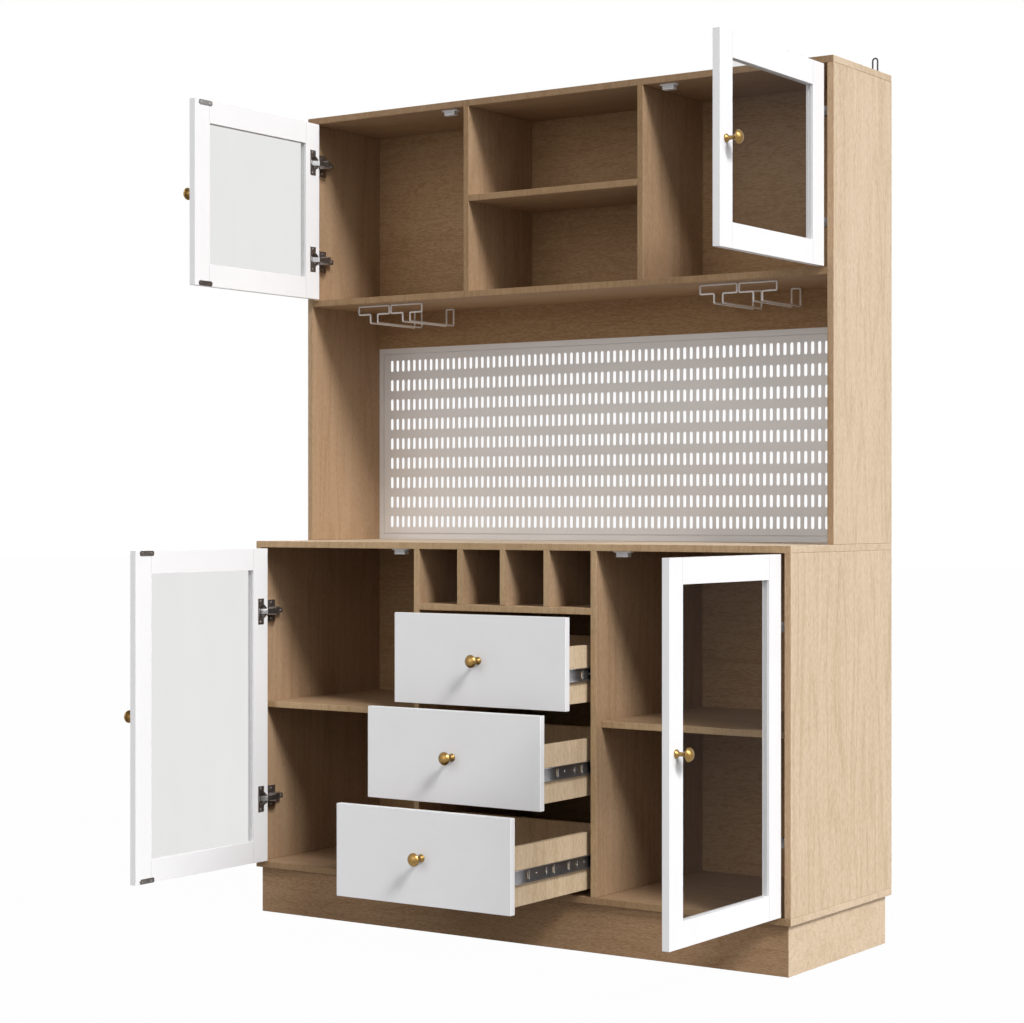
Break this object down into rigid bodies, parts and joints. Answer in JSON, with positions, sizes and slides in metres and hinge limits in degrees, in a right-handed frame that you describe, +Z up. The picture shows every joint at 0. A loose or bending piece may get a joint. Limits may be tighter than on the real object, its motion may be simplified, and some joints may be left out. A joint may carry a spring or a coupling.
{
  "type": "wine cabinet",
  "caption": "Tall wine cabinet: cupboard base with drawers and bottle cubbies, slotted panel over the counter, wire glass racks and a hutch with glazed doors.",
  "frame": {"origin": "on the floor under the middle of the base cabinet, on the underside of the plinth's middle rail", "axes": "+X to the viewer's right, +Y from the front to the wall side, +Z up; stored with the doors open square and the drawers part way out, as pictured"},
  "size_m": [1.37, 0.8738, 1.84],
  "materials": {
    "oak_board": "wood-grain laminate, satin",
    "white_lacquer": "white satin paint on board",
    "clear_glass": "clear polished glass",
    "brass": "brushed antique brass",
    "dark_nickel": "dark nickel plate",
    "bright_nickel": "bright nickel plate",
    "zinc_steel": "zinc plate",
    "slide_steel": "dark zinc plate",
    "cage_steel": "plain steel",
    "panel_paint": "light warm grey powder coat",
    "wire_paint": "pale powder coat",
    "black_metal": "black powder coat",
    "white_plastic": "white moulded plastic"
  },
  "bodies": {
    "carcass": {"base_back_panel": "oak_board", "base_bottom_panel": "oak_board", "base_dividers": "oak_board", "base_shelves": "oak_board", "base_sides": "oak_board", "bottle_cubby_boards": "oak_board", "counter_top": "oak_board", "glass_racks": "wire_paint", "hinge_arms": "dark_nickel", "hinge_plates": "dark_nickel", "hutch_back_panel": "oak_board", "hutch_dividers": "oak_board", "hutch_floor_panel": "oak_board", "hutch_middle_shelf": "oak_board", "hutch_sides": "oak_board", "hutch_top_panel": "oak_board", "magnetic_catches": "white_plastic", "plinth_frame": "oak_board", "slide_rails": "slide_steel", "slotted_panel": "panel_paint", "wall_brackets": "black_metal"},
    "lower_drawer_ball_cages": {"lower_drawer_ball_cages": "cage_steel"},
    "lower_drawer": {"lower_drawer_box": "oak_board", "lower_drawer_front": "white_lacquer", "lower_drawer_knob": "brass", "lower_drawer_runners": "slide_steel"},
    "lower_left_door": {"lower_left_frame": "white_lacquer", "lower_left_glass": "clear_glass", "lower_left_hinge_cups": "dark_nickel", "lower_left_knob": "brass", "lower_left_strike_plates": "zinc_steel"},
    "lower_left_hinge_links": {"lower_left_hinge_links": "bright_nickel"},
    "lower_right_door": {"lower_right_frame": "white_lacquer", "lower_right_glass": "clear_glass", "lower_right_hinge_cups": "dark_nickel", "lower_right_knob": "brass", "lower_right_strike_plates": "zinc_steel"},
    "lower_right_hinge_links": {"lower_right_hinge_links": "bright_nickel"},
    "middle_drawer_ball_cages": {"middle_drawer_ball_cages": "cage_steel"},
    "middle_drawer": {"middle_drawer_box": "oak_board", "middle_drawer_front": "white_lacquer", "middle_drawer_knob": "brass", "middle_drawer_runners": "slide_steel"},
    "upper_drawer_ball_cages": {"upper_drawer_ball_cages": "cage_steel"},
    "upper_drawer": {"upper_drawer_box": "oak_board", "upper_drawer_front": "white_lacquer", "upper_drawer_knob": "brass", "upper_drawer_runners": "slide_steel"},
    "upper_left_door": {"upper_left_frame": "white_lacquer", "upper_left_glass": "clear_glass", "upper_left_hinge_cups": "dark_nickel", "upper_left_knob": "brass", "upper_left_strike_plates": "zinc_steel"},
    "upper_left_hinge_links": {"upper_left_hinge_links": "bright_nickel"},
    "upper_right_door": {"upper_right_frame": "white_lacquer", "upper_right_glass": "clear_glass", "upper_right_hinge_cups": "dark_nickel", "upper_right_knob": "brass", "upper_right_strike_plates": "zinc_steel"},
    "upper_right_hinge_links": {"upper_right_hinge_links": "bright_nickel"}
  },
  "joints": [
    {"name": "lower_left_door_hinge", "type": "hinge", "parent": "carcass", "child": "lower_left_door", "pos_m": [-0.653, -0.228, 0.4645], "axis": [0, 0, 1], "range_deg": [-10, 90]},
    {"name": "lower_left_hinge_links_pivot", "type": "hinge", "parent": "lower_left_door", "child": "lower_left_hinge_links", "pos_m": [-0.641, -0.2491, 0.4645], "axis": [0, 0, 1], "range_deg": [-90, 10]},
    {"name": "lower_right_door_hinge", "type": "hinge", "parent": "carcass", "child": "lower_right_door", "pos_m": [0.653, -0.228, 0.4645], "axis": [0, 0, -1], "range_deg": [-10, 90]},
    {"name": "lower_right_hinge_links_pivot", "type": "hinge", "parent": "lower_right_door", "child": "lower_right_hinge_links", "pos_m": [0.641, -0.2491, 0.4645], "axis": [0, 0, -1], "range_deg": [-90, 10]},
    {"name": "upper_left_door_hinge", "type": "hinge", "parent": "carcass", "child": "upper_left_door", "pos_m": [-0.653, -0.046, 1.58225], "axis": [0, 0, 1], "range_deg": [-10, 90]},
    {"name": "upper_left_hinge_links_pivot", "type": "hinge", "parent": "upper_left_door", "child": "upper_left_hinge_links", "pos_m": [-0.641, -0.0671, 1.58225], "axis": [0, 0, 1], "range_deg": [-90, 10]},
    {"name": "upper_right_door_hinge", "type": "hinge", "parent": "carcass", "child": "upper_right_door", "pos_m": [0.653, -0.046, 1.58225], "axis": [0, 0, -1], "range_deg": [-10, 90]},
    {"name": "upper_right_hinge_links_pivot", "type": "hinge", "parent": "upper_right_door", "child": "upper_right_hinge_links", "pos_m": [0.641, -0.0671, 1.58225], "axis": [0, 0, -1], "range_deg": [-90, 10]},
    {"name": "lower_drawer_slide", "type": "slide", "parent": "carcass", "child": "lower_drawer", "axis": [0, -1, 0], "range_m": [-0.283, 0.017]},
    {"name": "lower_drawer_cage_roll", "type": "slide", "parent": "carcass", "child": "lower_drawer_ball_cages", "axis": [0, -1, 0], "range_m": [-0.1415, 0.0085]},
    {"name": "middle_drawer_slide", "type": "slide", "parent": "carcass", "child": "middle_drawer", "axis": [0, -1, 0], "range_m": [-0.18, 0.12]},
    {"name": "middle_drawer_cage_roll", "type": "slide", "parent": "carcass", "child": "middle_drawer_ball_cages", "axis": [0, -1, 0], "range_m": [-0.09, 0.06]},
    {"name": "upper_drawer_slide", "type": "slide", "parent": "carcass", "child": "upper_drawer", "axis": [0, -1, 0], "range_m": [-0.089, 0.211]},
    {"name": "upper_drawer_cage_roll", "type": "slide", "parent": "carcass", "child": "upper_drawer_ball_cages", "axis": [0, -1, 0], "range_m": [-0.0445, 0.1055]}
  ],
  "couplings": [
    {"joint": "lower_left_hinge_links_pivot", "follows": "lower_left_door_hinge", "ratio": -1},
    {"joint": "lower_right_hinge_links_pivot", "follows": "lower_right_door_hinge", "ratio": -1},
    {"joint": "upper_left_hinge_links_pivot", "follows": "upper_left_door_hinge", "ratio": -1},
    {"joint": "upper_right_hinge_links_pivot", "follows": "upper_right_door_hinge", "ratio": -1},
    {"joint": "lower_drawer_cage_roll", "follows": "lower_drawer_slide", "ratio": 0.5},
    {"joint": "middle_drawer_cage_roll", "follows": "middle_drawer_slide", "ratio": 0.5},
    {"joint": "upper_drawer_cage_roll", "follows": "upper_drawer_slide", "ratio": 0.5}
  ]
}
